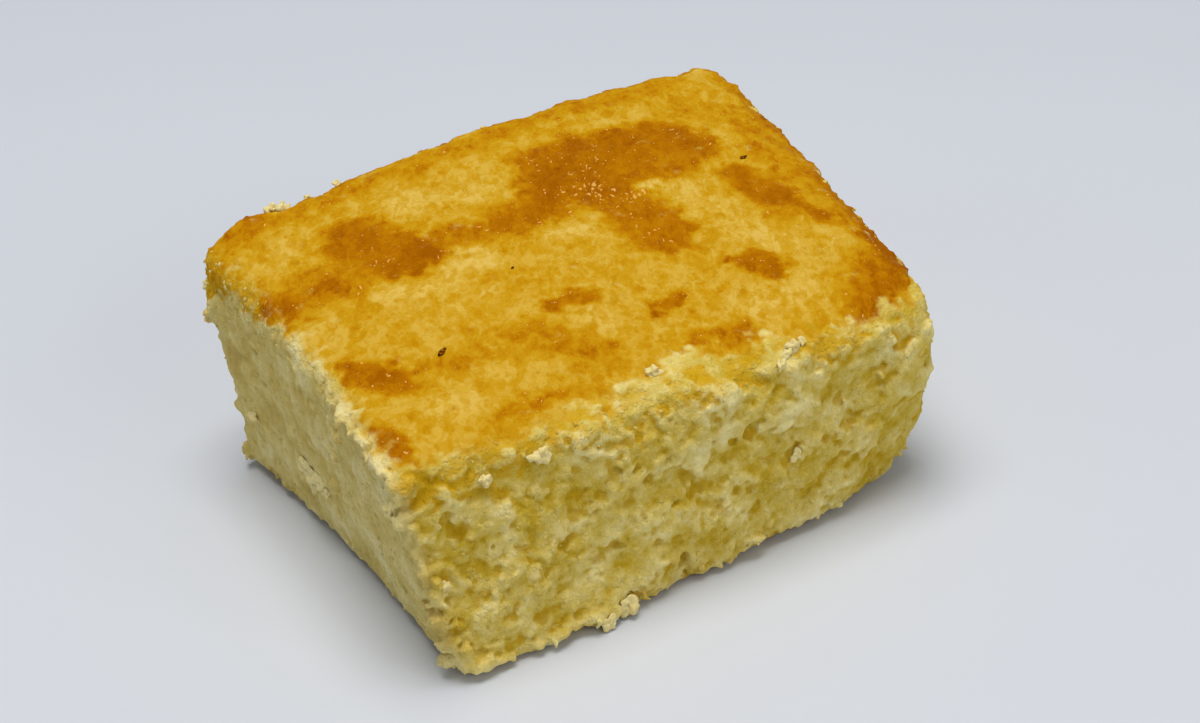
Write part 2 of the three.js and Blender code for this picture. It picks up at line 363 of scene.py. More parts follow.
class Net:
    """A grid of cubes round the bread, in millimetres, on which distances and soft noises are worked out."""

    def __init__(self, low, high, cell, margin):
        self.cell = cell
        self.first = np.floor((np.asarray(low) - margin) / cell).astype(int)
        self.shape = tuple(np.ceil((np.asarray(high) + margin) / cell).astype(int) - self.first + 1)

    def axis(self, k):
        """The places of the cells along one axis."""
        return ((np.arange(self.shape[k]) + self.first[k]) * self.cell).astype(np.float32)

    def noise(self, wave, seed, flat=1.0):
        """Soft lumps of about that wavelength and a spread of 1, drawn flatter along Z by flat."""
        steps = [wave / 3 / self.cell, wave / 3 / self.cell, wave / 3 / self.cell / flat]
        knots = [int(count / step) + 5 for count, step in zip(self.shape, steps)]
        field = np.random.default_rng(seed).standard_normal(knots).astype(np.float32)
        for axis, (count, step) in enumerate(zip(self.shape, steps)):
            field = spread(field, axis, count, step)
        return field / field.std()

    def blurred(self, field, radius):
        """The field blurred over a radius."""
        for axis in range(3):
            field = blurred_along(field, axis, radius / self.cell)
        return np.ascontiguousarray(field)

    def sample(self, field, points):
        """The field's values at any points, between its cells."""
        at = points / self.cell - self.first
        base = np.clip(np.floor(at).astype(int), 0, np.array(self.shape) - 2)
        part = np.clip(at - base, 0, 1)
        total = np.zeros(len(points))
        for corner in np.ndindex(2, 2, 2):
            weight = np.prod(np.where(corner, part, 1 - part), axis=1)
            total += weight * field[tuple((base + corner).T)]
        return total

    def curds(self, points, size, seed):
        """Uneven lumps that fill space, about size apart. For each point, how far its lump stands out,
        from -0.7 to 1.3 with few high ones, and how far the point lies from the lump's middle, up to 0.5."""
        scale = np.array((size, size, size / 1.25))
        low = np.floor(self.first * self.cell / scale).astype(int) - 3
        high = np.ceil((self.first + self.shape) * self.cell / scale).astype(int) + 3
        draw = np.random.default_rng(seed)
        middles = draw.random((np.prod(high - low), 3), dtype=np.float32)
        stands = (2 * draw.random(len(middles)) ** 1.7 - 0.74).astype(np.float32)
        at = (points / scale - low).astype(np.float32)
        base = np.floor(at).astype(np.int64)
        part = at - base
        strides = np.array(((high - low)[1] * (high - low)[2], (high - low)[2], 1))
        cell = base @ strides
        weight = np.zeros(len(at), dtype=np.float32)
        stand = np.zeros_like(weight)
        for corner in np.ndindex(3, 3, 3):
            offset = np.array(corner, dtype=np.float32) - 1
            near = cell + int(offset @ strides)
            away = ((middles[near] + offset - part) ** 2).sum(axis=1)
            share = np.exp(-SHARPNESS * away)
            weight += share
            stand += share * stands[near]
        return stand / weight, -np.log(weight) / SHARPNESS

    def stamp(self, field, middle, radii, turn, blend, hollow, uneven=None):
        """Melts an egg shape into the solid, or out of it where hollow is true. uneven dents the egg."""
        reach = max(radii) + blend
        low = np.floor((middle - reach) / self.cell).astype(int) - self.first
        high = np.ceil((middle + reach) / self.cell).astype(int) - self.first + 1
        low = np.clip(low, 0, self.shape)
        high = np.clip(high, 0, self.shape)
        if np.any(low >= high):
            return
        x, y, z = (
            (np.arange(low[k], high[k]) + self.first[k]) * self.cell - middle[k] for k in range(3)
        )
        along = x[:, None] * math.cos(turn) + y[None, :] * math.sin(turn)
        across = y[None, :] * math.cos(turn) - x[:, None] * math.sin(turn)
        plan = (along / radii[0]) ** 2 + (across / radii[1]) ** 2
        egg = (np.sqrt(plan[:, :, None] + (z / radii[2]) ** 2) - 1) * min(radii)
        block = field[low[0] : high[0], low[1] : high[1], low[2] : high[2]]
        if uneven is not None:
            egg += uneven[low[0] : high[0], low[1] : high[1], low[2] : high[2]] * min(radii)
        if hollow:
            overlap = np.maximum(blend - np.abs(block + egg), 0) / blend
            block[...] = np.maximum(block, -egg) + overlap**2 * blend / 4
        else:
            overlap = np.maximum(blend - np.abs(block - egg), 0) / blend
            block[...] = np.minimum(block, egg) - overlap**2 * blend / 4


# ---- Meshes ----


def new_mesh(name, points, triangles):
    """A smooth-shaded mesh of triangles, from points in metres."""
    mesh = bpy.data.meshes.new(name)
    mesh.vertices.add(len(points))
    mesh.vertices.foreach_set("co", np.asarray(points, dtype=np.float32).ravel())
    mesh.loops.add(3 * len(triangles))
    mesh.loops.foreach_set("vertex_index", np.asarray(triangles, dtype=np.int32).ravel())
    mesh.polygons.add(len(triangles))
    mesh.polygons.foreach_set("loop_start", np.arange(0, 3 * len(triangles), 3, dtype=np.int32))
    mesh.polygons.foreach_set("use_smooth", np.ones(len(triangles), dtype=bool))
    mesh.update(calc_edges=True)
    mesh.validate()
    return mesh


def new_object(name, mesh):
    """An object of that mesh at the origin, in the scene."""
    piece = bpy.data.objects.new(name, mesh)
    bpy.context.scene.collection.objects.link(piece)
    return piece


def mesh_points(mesh):
    """The mesh's points in millimetres."""
    points = np.empty(3 * len(mesh.vertices), dtype=np.float32)
    mesh.vertices.foreach_get("co", points)
    return points.reshape(-1, 3).astype(float) / MM


def mesh_triangles(mesh):
    """The mesh's triangles, by the numbers of their points."""
    mesh.calc_loop_triangles()
    triangles = np.empty(3 * len(mesh.loop_triangles), dtype=np.int32)
    mesh.loop_triangles.foreach_get("vertices", triangles)
    return triangles.reshape(-1, 3)


def merged_copy(source):
    """A copy of a CAD node's mesh whose triangles share their corners."""
    shell = bmesh.new()
    shell.from_mesh(source.data)
    shell.transform(source.matrix_world)
    bmesh.ops.remove_doubles(shell, verts=shell.verts, dist=0.01 * MM)
    mesh = bpy.data.meshes.new("merged")
    shell.to_mesh(mesh)
    shell.free()
    return mesh


def largest_island(points, triangles):
    """The mesh without the scraps that hang together with nothing else."""
    label = np.arange(len(points))
    edges = np.concatenate([triangles[:, [0, 1]], triangles[:, [1, 2]]])
    while True:
        lowest = np.minimum(label[edges[:, 0]], label[edges[:, 1]])
        fresh = label.copy()
        np.minimum.at(fresh, edges[:, 0], lowest)
        np.minimum.at(fresh, edges[:, 1], lowest)
        np.minimum.at(fresh, label[edges[:, 0]], lowest)
        np.minimum.at(fresh, label[edges[:, 1]], lowest)
        fresh = fresh[fresh]
        if np.array_equal(fresh, label):
            break
        label = fresh
    keep = label == np.bincount(label).argmax()
    number = np.cumsum(keep) - 1
    return points[keep], number[triangles[keep[triangles[:, 0]]]]


def applied(piece, name):
    """The piece's mesh with its modifiers applied. The piece itself goes."""
    graph = bpy.context.evaluated_depsgraph_get()
    mesh = bpy.data.meshes.new_from_object(
        piece.evaluated_get(graph), preserve_all_data_layers=True, depsgraph=graph
    )
    mesh.name = name
    bpy.data.objects.remove(piece)
    return mesh


def set_values(mesh, name, values):
    """Keeps one number for each point of the mesh, for its material to read."""
    layer = mesh.attributes.new(name, "FLOAT", "POINT")
    layer.data.foreach_set("value", np.asarray(values, dtype=np.float32))


# ---- The bread's shape ----


def stroke_weight(points, start, end, half_width, soft):
    """How far points in plan lie inside a stroke from start to end: 1 well inside, 0 well outside."""
    start, end = np.array(start, dtype=float), np.array(end, dtype=float)
    along = end - start
    share = np.clip((points - start) @ along / (along @ along), 0, 1)
    away = np.linalg.norm(points - start - share[:, None] * along, axis=1)
    return smoothstep(half_width + soft, half_width - soft, away)


def total_weight(strokes, points):
    """The strengths of the strokes over points in plan, added up."""
    total = np.zeros(len(points))
    for start, end, half_width, strength, soft in strokes.values():
        total += strength * stroke_weight(points, start, end, half_width, soft)
    return total


def browning(points):
    """How brown the crust is at points in plan, from the patches and tints: 0 palest, 0.5 golden, 1 brown."""
    pale = np.ones(len(points))
    for start, end, half_width, strength, soft in PATCHES.values():
        pale *= 1 - strength * stroke_weight(points, start, end, half_width, 1.6 * soft)
    return 1.04 * (1 - pale) ** 0.72 + 0.85 * total_weight(TINTS, points)


def crust_height(net, solid):
    """The height of the crust over every spot of the plan, carried a little past its edges."""
    z = net.axis(2)
    height = np.where(solid, z, 0).max(axis=2)
    reach = int(3.2 / net.cell)
    for axis in (0, 1):
        height = np.max([np.roll(height, shift, axis) for shift in range(-reach, reach + 1, 2)], axis=0)
    return height


def surface_spots(net, shape, where, count, seed, clusters):
    """Cells drawn at random on the surface where where is true, thicker in the clusters."""
    cells = np.argwhere(where & (np.abs(shape) < net.cell * 0.6))
    weight = np.exp(clusters[tuple(cells.T)]).astype(float)
    draw = np.random.default_rng(seed)
    return cells[draw.choice(len(cells), count, replace=False, p=weight / weight.sum())]


def shaken_places(net, where):
    """How far the curds are pulled out of shape at the cells where where is true."""
    reach = ((3.2, 0.6), (1.5, 0.25))
    return np.stack(
        [sum(by * net.noise(wave, 500 + 10 * k + int(wave))[where] for wave, by in reach) for k in range(3)],
        axis=1,
    )


def past_edges(x, y):
    """How far places in plan lie on the crust's side of the front edge's line and of the left edge's."""
    return y - np.interp(x, *zip(*FRONT_EDGE)), x - np.interp(y, *zip(*LEFT_EDGE))


def surface_kinds(net, shape, normal, side):
    """How much each cell is left side, crust, rough crumb, turned-down rim and ragged cut edge."""
    up = normal[2]
    left = smoothstep(0.35, 0.8, -normal[0])
    crust = smoothstep(0.5, 0.85, up)
    under = crust_height(net, shape < 0)[:, :, None] - net.axis(2)[None, None, :]
    hidden = smoothstep(0.2, 0.6, np.maximum(normal[0], normal[1]))
    turned_down = hidden * smoothstep(5, 2, under)
    edge, edge_left = past_edges(net.axis(0)[:, None], net.axis(1)[None, :])
    open_edge = np.maximum(0.8 * smoothstep(2.4, -0.6, edge), 0.5 * smoothstep(1.2, -0.6, edge_left))
    rough = np.maximum(side * (1 - turned_down), open_edge[:, :, None] * smoothstep(0.2, 0.6, up))
    rough = np.maximum(rough, smoothstep(-0.1, -0.6, up) * smoothstep(0.96, 0.75, -up))
    rim = smoothstep(0.95, 0.8, up) * hidden * smoothstep(6, 4, under)
    rough = np.maximum(rough, 0.35 * rim)

    # Along its cut edges the crumb breaks off raggedly
    bent = np.sqrt(sum(net.blurred(n, 1.5) ** 2 for n in normal))
    ragged_edge = smoothstep(0.97, 0.82, bent) * smoothstep(0.75, 0.3, up) * (1 - turned_down)
    ring = smoothstep(0.98, 0.85, -up) * smoothstep(2.4, 1.2, net.axis(2))[None, None, :]
    ragged_edge = np.maximum(ragged_edge * (1 - 0.5 * ring), (0.45 - 0.2 * left) * ring)
    return left, crust, rough, rim, ragged_edge


def add_curds(net, field, shape, rough, left, ragged_edge, settings):
    """Puts the curds' relief into the field, and gives how they colour the crumb: paler where a curd stands
    out and darker where it sinks, partly painted light and shade.
    """
    foot_share = smoothstep(-2.6, 2.2, net.axis(2))[None, None, :]
    band = (np.abs(shape) < 2) & (rough > 0.01)
    places = (np.argwhere(band) + net.first) * net.cell + shaken_places(net, band)
    tone = np.zeros_like(field)
    for number, (size, uneven_by, round_by, lacking, colouring) in enumerate(CURDS):
        stand, away = net.curds(places, size, settings.seed + 40 + number)
        # Painted light and shade, partly: curds that stand out are painted paler, sunken ones darker
        tone[band] += colouring * stand
        strength = settings.relief * (rough * foot_share)[band] * (1 - lacking * left[band])
        uneven_by = uneven_by * (1 + RAGGED[number] * (ragged_edge * (1 - 0.5 * left))[band])
        field[band] -= strength * (uneven_by * stand - round_by * (away - 0.2))
    return tone


def crumb_shape(net, shape, normal, side, settings):
    """The bread's signed distance with its relief, lumps and holes, from that of the plain solid."""
    left, crust, rough, rim, ragged_edge = surface_kinds(net, shape, normal, side)
    up = normal[2]
    draw = np.random.default_rng(settings.seed)
    field = shape.copy()

    def spots(where, count, seed, clusters):
        cells = surface_spots(net, shape, where, count, seed, clusters)
        at = tuple(cells.T)
        out = np.stack([n[at] for n in normal], axis=1)
        places = (cells + net.first) * net.cell - shape[at][:, None] * out
        return places, out, rough[at] * (1 - 0.45 * left[at])

    gather = net.noise(9, settings.seed + 1)
    uneven = 0.26 * net.noise(1.7, settings.seed + 2) + 0.2 * net.noise(3.4, settings.seed + 3)
    middle, reach, more = BROKEN_PLACE
    x, y, z = (net.axis(k) - middle[k] for k in range(3))
    broken = more * np.exp(-(x[:, None, None] ** 2 + y[None, :, None] ** 2 + z**2) / (2 * reach**2))
    for number, (count, smallest, largest, stand) in enumerate((*LUMPS, EDGE_CRUMBS)):
        along_edges = number == len(LUMPS)
        above_foot = (net.axis(2) > 1.6)[None, None, :]
        where = ragged_edge * above_foot * (up > -0.8) > 0.35 if along_edges else side > 0.9
        clusters = broken - 0.4 * gather if along_edges else -0.4 * gather
        places, out, weight = spots(where, count, settings.seed + 20 + number, clusters)
        sizes = smallest + (largest - smallest) * draw.random(len(places)) ** (2 if along_edges else 1)
        squash = draw.uniform(0.6, 0.95, len(places))
        for place, n, size, flat, share in zip(places, out, sizes, squash, weight):
            turn = math.atan2(n[0], -n[1]) + draw.uniform(-0.5, 0.5)
            raised = draw.uniform(0.3, 1)
            rise = stand * size * raised if along_edges else stand * raised * share
            middle = place + n * (rise - size * flat * (0.15 if along_edges else 1))
            net.stamp(field, middle, (size, size * flat, size * flat), turn, 0.3, False, uneven)

    tone = add_curds(net, field, shape, rough, left, ragged_edge, settings)
    for number, (wave, height) in enumerate(CRUST_RELIEF):
        field -= height * crust * net.noise(wave, settings.seed + 50 + number)
    for number, (wave, height) in enumerate(RIM_RELIEF):
        field -= height * rim * net.noise(wave, settings.seed + 54 + number)
    for number, (wave, rare, depth) in enumerate(PORES):
        pore = net.noise(wave, settings.seed + 70 + number, 1.6) + 0.3 * gather - rare
        field += depth * rough * (1 - 0.5 * left) * np.clip(pore, 0, 1.6)

    # Cracks between the lumps, only here and there
    crack = net.noise(7, settings.seed + 60, 1.5) + 0.25 * net.noise(2.4, settings.seed + 61)
    where = smoothstep(-0.2, 0.9, net.noise(16, settings.seed + 62))
    field += 0.24 * rough * (1 - 0.6 * left) * where * smoothstep(0.24, 0.0, np.abs(crack))
    field -= 0.06 * rough * net.noise(0.9, settings.seed + 63)
    pits = np.full_like(field, 3)
    ragged = 0.5 * net.noise(1.4, settings.seed + 4) + 0.25 * net.noise(0.9, settings.seed + 5)
    for number, (count, smallest, largest) in enumerate(PITS):
        places, out, weight = spots(side > 0.6, count, settings.seed + 80 + number, 0.8 * gather - 0.9 * left)
        sizes = draw.uniform(smallest, largest, len(places))
        for place, n, size, share in zip(places, out, sizes, weight):
            turn = math.atan2(n[0], -n[1])
            size *= 0.6 + 0.4 * share
            radii = np.array((size, size, size * draw.uniform(0.45, 0.85)))
            net.stamp(pits, place, radii, turn, 0.2, False, ragged)
    name_pits(net, shape, pits)
    field += PIT_DEPTH * np.maximum(rough, 0.5) * smoothstep(0.45, -0.45, pits)

    foot = smoothstep(0.02, 0.2, net.blurred(side, 1.2)) * smoothstep(2.5, 0.4, net.axis(2))[None, None, :]
    field -= foot * 0.16 * net.noise(1.6, settings.seed + 64)
    field = net.blurred(field, RELIEF_BLUR)
    field = np.maximum(field, -net.axis(2)[None, None, :])

    # Pinholes in the crust and in the underside's skin
    for where, count, seed in ((up > 0.9, CRUST_PINHOLES, 90), (up < -0.9, SKIN_PINHOLES, 91)):
        places, out, _ = spots(where, count, settings.seed + seed, 0.6 * gather)
        for place, n in zip(places, out):
            size = draw.uniform(0.25, 0.55)
            middle = place + n * size * draw.uniform(0, 0.4)
            net.stamp(field, middle, (size, size * draw.uniform(0.6, 1), size * 0.8), 0, 0.16, True)
    return field, tone, pits


def front_face(net, shape, x, z):
    """The place on the front face at x and z."""
    y = net.axis(1)
    column = net.sample(shape, np.array([[x, each, z] for each in y]))
    inside = int(np.argmax(column < 0))
    return np.array([x, y[inside], z])


def name_pits(net, shape, pits):
    """Adds the pits of the front face that stand out."""
    draw = np.random.default_rng(5)
    uneven = 0.55 * net.noise(1.3, 6) + 0.3 * net.noise(2.6, 7)
    for x, z, half_width, half_height in FRONT_PITS.values():
        middle = front_face(net, shape, x, z)
        radii = np.array((half_width * 1.2, half_width, half_height * 1.2))
        for number in range(4):
            beside = middle + draw.uniform(-1, 1, 3) * (half_width, 0.2, half_height) * min(number, 1)
            share = draw.uniform(0.4, 0.7) if number else 1
            net.stamp(pits, beside, radii * share, 0, 0.2, False, uneven)


def surface_of(net, field):
    """Where the field is 0, as points and triangles that face outwards."""
    grid = openvdb.FloatGrid(float(BAND * net.cell))
    grid.transform = openvdb.createLinearTransform(voxelSize=net.cell)
    grid.copyFromArray(field, ijk=tuple(int(v) for v in net.first))
    points, corners, quads = grid.convertToPolygons(isovalue=0.0, adaptivity=0.0)
    quads = np.asarray(quads, dtype=int).reshape(-1, 4)
    faces = [np.asarray(corners, dtype=int).reshape(-1, 3), quads[:, [0, 1, 2]], quads[:, [0, 2, 3]]]
    points, faces = largest_island(np.asarray(points, dtype=float), np.concatenate(faces))
    first, second, third = (points[faces[:, k]] for k in range(3))
    volume = np.einsum("ij,ij->i", first, np.cross(second, third)).sum()
    return points, faces if volume >= 0 else faces[:, ::-1]


def bread_mesh(settings):
    """The bread's fine surface, with the numbers that its material reads."""
    source = merged_copy(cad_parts["cornbread"])
    points, triangles = mesh_points(source), mesh_triangles(source)
    bpy.data.meshes.remove(source)
    cell = settings.cell / MM
    net = Net(points.min(axis=0), points.max(axis=0), cell, NET_MARGIN)
    grid = openvdb.FloatGrid.createLevelSetFromPolygons(
        points.astype(np.float32),
        triangles=triangles.astype(np.uint32),
        transform=openvdb.createLinearTransform(voxelSize=cell),
        halfWidth=BAND,
    )
    shape = np.empty(net.shape, dtype=np.float32)
    grid.copyToArray(shape, ijk=tuple(int(v) for v in net.first))
    shape = net.blurred(shape, FACET_BLUR)
    slopes = np.gradient(shape, cell)
    length = np.sqrt(sum(s * s for s in slopes)) + 1e-6
    normal = [s / length for s in slopes]
    side = smoothstep(0.8, 0.5, np.abs(normal[2]))

    for middle, radii in FILLS.values():
        net.stamp(shape, np.array(middle), radii, 0, 1.2, False)
    field, tone, pits = crumb_shape(net, shape, normal, side, settings)
    net.stamp(field, np.array(CHIP["middle"]), CHIP["radii"], 0, 0.3, True)

    spots, faces = surface_of(net, field)
    raw = new_object("raw_bread", new_mesh("raw_bread", spots * MM, faces))
    thin = raw.modifiers.new("thin", "DECIMATE")
    thin.ratio = min(1.0, settings.triangles / len(faces))
    mesh = applied(raw, "cornbread_square")

    points = mesh_points(mesh)
    points[:, 2] = np.maximum(points[:, 2], 0)
    mesh.vertices.foreach_set("co", (points * MM).astype(np.float32).ravel())
    mesh.update()
    keep_surface_values(mesh, points, net, shape, normal, field, tone)
    # pit: where the pits are, which the material paints a darker golden brown as painted shade
    pit = smoothstep(0.45, -0.4, net.sample(pits, points))
    upright = smoothstep(0.85, 0.6, np.abs(net.sample(normal[2], points)))
    set_values(mesh, "pit", pit)
    set_values(mesh, "cling", upright * smoothstep(0.4, 0.9, points[:, 2]) * (1 - pit))
    return mesh


def keep_surface_values(mesh, points, net, shape, normal, field, tone):
    """What the material reads at each point: how much crust, how brown, how deep, how far under the crust."""
    plan = points[:, :2]
    nx, ny, nz = (net.sample(n, points) for n in normal)

    def lumps(wave, seed):
        return net.sample(net.noise(wave, seed), points)

    ragged, ragged_wide = lumps(2.2, 301), lumps(6, 302)
    height = crust_height(net, shape < 0)
    at = np.clip(np.round(plan / net.cell).astype(int) - net.first[:2], 0, np.array(net.shape[:2]) - 1)
    under = height[at[:, 0], at[:, 1]] - points[:, 2]
    back = smoothstep(0.15, 0.5, np.maximum(ny, nx))
    near = (np.abs(shape) < net.cell).astype(np.float32)
    flat_top = net.blurred(near * smoothstep(0.6, 0.9, normal[2]), 1.3)
    flat_top /= net.blurred(near, 1.3) + 1e-4
    crust = net.sample(flat_top, points) + 0.07 * ragged + 0.05 * ragged_wide
    edge, edge_left = past_edges(*plan.T)
    crust = np.minimum(crust, smoothstep(-2.4, 2.4, edge + 0.9 * ragged + 1.1 * ragged_wide))
    crust = np.minimum(crust, smoothstep(-1.2, 1.2, edge_left + 0.5 * ragged + 0.4 * ragged_wide))
    turned_down = back * smoothstep(4.4, 2.6, under + 0.7 * ragged + 0.7 * ragged_wide)
    turned_down *= smoothstep(-30, -24, plan[:, 1] + ragged_wide)
    from_corner = np.hypot(plan[:, 0] - CRUSTED_CORNER[0], plan[:, 1] - CRUSTED_CORNER[1]) + 0.6 * ragged
    corner = smoothstep(10.5, 7, from_corner) * smoothstep(7.5, 5, under + 0.7 * ragged + 0.7 * ragged_wide)
    rolled = smoothstep(0.2, 0.6, -nx) * smoothstep(1, 9, plan[:, 1] + 2 * ragged_wide)
    rolled *= smoothstep(5.6, 1.6, under + 0.6 * ragged + 0.8 * ragged_wide)
    rim = back * smoothstep(0.985, 0.8, nz)
    stain = np.zeros(len(points))
    for middle, radius, strength in STAINS.values():
        away = np.linalg.norm((points - middle) * (1, 1, 1.25), axis=1)
        stain = np.maximum(stain, strength * smoothstep(radius * 1.15, radius * 0.35, away + 0.35 * ragged))
    shake = [0.55 * lumps(3, 310 + k) + 0.28 * lumps(1.3, 320 + k) for k in (0, 1)]
    shaken_plan = plan + np.stack(shake, axis=1)
    rim = np.maximum(np.maximum(0.3 * rim, 0.46 * turned_down) * (1 - 0.6 * corner), 0.16 * corner)
    rim_left = smoothstep(1.6, -0.4, edge_left) * smoothstep(0.1, 0.5, nz) * (1 - corner)
    front = smoothstep(4, -1, edge) * smoothstep(6, 1.5, under) * smoothstep(48, 14, plan[:, 0])
    beside = smoothstep(0.35, 0.8, -nx) * smoothstep(4.2, 0.8, under + 0.9 * ragged_wide)
    stain = np.maximum(stain, front * (0.62 + 0.16 * ragged_wide)) * (1 - rim_left)
    lighter = (0.6 + 0.25 * ragged_wide) * rim_left + 0.3 * beside
    values = {
        "crust": np.clip(np.max([crust, turned_down, corner, 0.85 * rolled], axis=0), 0, 1),
        "bake": np.clip(browning(shaken_plan) + rim, -0.5, 1.3),
        # Where the painted highlights (glints) gather on the crust
        "painted_glint": total_weight(PAINTED_GLINTS, shaken_plan),
        "stain": np.maximum(stain, beside * (0.48 + 0.12 * ragged_wide)),
        # sunk, bend and bend_wide measure depth and curvature; the material paints shade into hollows and
        # highlights onto tips from them
        "sunk": np.clip(-net.sample(shape, points), -1.5, 2.5),
        "bend": np.clip(net.sample(net.blurred(field, 0.6), points), -0.6, 0.6),
        "bend_wide": np.clip(net.sample(net.blurred(field, 1.4), points), -1, 1),
        "tone": net.sample(tone, points) + lighter,
        "cut": np.maximum(smoothstep(0.3, 0.8, -nx), 0.35 * rim_left),
        "skin": smoothstep(-0.5, -0.85, nz) * smoothstep(0.9, 0.2, points[:, 2] + 0.2 * ragged),
    }
    for name, each in values.items():
        set_values(mesh, name, each)


def crumb_piece(points, middle, radii, turn, seed):
    """One crumb: a ball drawn to its half sizes, turned, and roughened all over."""
    spin = Matrix.Rotation(math.radians(turn), 3, "Z")
    shift = Vector((seed * 3.7, seed * 1.9, seed * 5.3))
    shaped = []
    for point in points:
        place = Vector([point[k] * radii[k] for k in range(3)])
        lump = noise.noise(point * 1.2 + shift) * 0.6 + noise.noise(place * 1.7 + shift) * 0.35
        lump += noise.noise(place * 4.1 + shift) * 0.16
        q = point * (1 + lump)
        shaped.append(spin @ Vector([q[k] * radii[k] for k in range(3)]) + Vector(middle))
    return shaped


def joined_crumbs(name, table, bread, sink):
    """The table's crumbs as one mesh, each on the bread's surface and sunk into it by a share of its size."""
    ball = bmesh.new()
    bmesh.ops.create_icosphere(ball, subdivisions=4, radius=1)
    points = [v.co.copy() for v in ball.verts]
    faces = np.array([[v.index for v in f.verts] for f in ball.faces])
    ball.free()
    surface = mesh_points(bread)
    all_points, all_faces = [], []
    for seed, (middle, radii, turn) in enumerate(table.values(), start=1):
        near = surface[np.argmin(np.linalg.norm(surface - middle, axis=1))]
        away = np.array(middle) - near
        length = np.linalg.norm(away)
        middle = near + (away / length if length > 0.01 else 0) * min(length, sink * min(radii))
        all_points += crumb_piece(points, middle, radii, turn, seed)
        all_faces.append(faces + len(points) * (seed - 1))
    spots = np.array(all_points)
    spots[:, 2] = np.maximum(spots[:, 2], 0)
    return new_mesh(name, spots * MM, np.concatenate(all_faces))


# ---- Nodes ----


def put(tree, kind, inputs=None, **settings):
    """A node in the tree, with its settings, and its inputs set or linked."""
    node = tree.nodes.new(kind)
    for name, value in settings.items():
        setattr(node, name, value)
    for key, value in (inputs or {}).items():
        if isinstance(value, NodeSocket):
            tree.links.new(value, node.inputs[key])
        else:
            node.inputs[key].default_value = value
    return node


def calc(tree, operation, *values):
    """The result of one sum, product or the like."""
    return put(tree, "ShaderNodeMath", dict(enumerate(values)), operation=operation).outputs[0]


def plus(tree, total, *terms):
    """total with each value added, scaled by its share."""
    for value, share in terms:
        total = calc(tree, "MULTIPLY_ADD", value, share, total)
    return total


def varied(tree, total, *noises):
    """total with each noise added, centred on 0 and scaled by its share."""
    for value, share in noises:
        total = calc(tree, "ADD", total, calc(tree, "MULTIPLY_ADD", value, share, -0.5 * share))
    return total


def vector(tree, operation, first, second):
    """The result of one sum or product of vectors. Under SCALE, second is a number."""
    key = "Scale" if operation == "SCALE" else 1
    return put(tree, "ShaderNodeVectorMath", {0: first, key: second}, operation=operation).outputs[0]


def step(tree, value, low, high, start=0.0, end=1.0):
    """A soft step from start to end, as value goes from low to high."""
    inputs = {"Value": value, "From Min": low, "From Max": high, "To Min": start, "To Max": end}
    return put(tree, "ShaderNodeMapRange", inputs, interpolation_type="SMOOTHSTEP").outputs["Result"]


def blend(tree, share, first, second):
    """first where share is 0, second where it is 1."""
    node = put(tree, "ShaderNodeMix", data_type="RGBA")
    for key, value in (("Factor_Float", share), ("A_Color", first), ("B_Color", second)):
        socket = next(s for s in node.inputs if s.identifier == key)
        if isinstance(value, NodeSocket):
            tree.links.new(value, socket)
        else:
            socket.default_value = value if key == "Factor_Float" else (*value[:3], 1)
    return next(s for s in node.outputs if s.identifier == "Result_Color")


def tones(tree, value, colours):
    """A colour from the row of colours, the first at 0 and the last at 1."""
    node = put(tree, "ShaderNodeValToRGB", {"Fac": value})
    stops = node.color_ramp.elements
    for number, colour in enumerate(colours):
        at = number / (len(colours) - 1)
        stop = stops[number] if number < 1 else stops.new(at) if at < 1 else stops[-1]
        stop.position = at
        stop.color = (*colour[:3], 1)
    return node.outputs["Color"]


def read(tree, name):
    """The number that the mesh keeps under that name."""
    return put(tree, "ShaderNodeAttribute", attribute_name=name).outputs["Fac"]


def millimetres(tree):
    """The place on the piece, in millimetres."""
    return vector(tree, "SCALE", put(tree, "ShaderNodeTexCoord").outputs["Object"], 1 / MM)


def speckle(tree, place, wave, detail=0.0, roughness=0.5):
    """A soft noise of about that wavelength in millimetres, from 0 to 1."""
    inputs = {"Vector": place, "Scale": 1 / wave, "Detail": detail, "Roughness": roughness}
    return put(tree, "ShaderNodeTexNoise", inputs).outputs["Fac"]


def wobble(tree, inputs, reach, **settings):
    """A move in any direction that a noise gives, by up to about reach."""
    colour = put(tree, "ShaderNodeTexNoise", {"Detail": 1.0, **inputs}, **settings).outputs["Color"]
    return vector(tree, "SCALE", vector(tree, "SUBTRACT", colour, (0.5, 0.5, 0.5)), 2 * reach)


def shaken(tree, place, wave, reach):
    """The place moved about by a noise of that wavelength, by up to about reach."""
    return vector(tree, "ADD", place, wobble(tree, {"Vector": place, "Scale": 1 / wave}, reach))


def grains(tree, place, size):
    """Small cells: a random number for each one, and the distance from its middle as a share of the cell."""
    node = put(tree, "ShaderNodeTexVoronoi", {"Vector": place, "Scale": 1 / size})
    part = put(tree, "ShaderNodeSeparateColor", {"Color": node.outputs["Color"]})
    return part.outputs["Red"], node.outputs["Distance"]


def spots(tree, place, size, thick):
    """Ragged round spots, 1 inside and 0 outside, about size apart. More and wider where thick is near 1."""
    pick, away = grains(tree, shaken(tree, place, size * 0.5, size * 0.24), size)
    ragged = speckle(tree, place, size * 0.3, 1.0)
    reach = calc(tree, "MULTIPLY_ADD", calc(tree, "SUBTRACT", thick, pick), 0.5, 0.28)
    beyond = calc(tree, "SUBTRACT", calc(tree, "MULTIPLY_ADD", ragged, 0.6, away), reach)
    return step(tree, beyond, 0.38, 0.2)


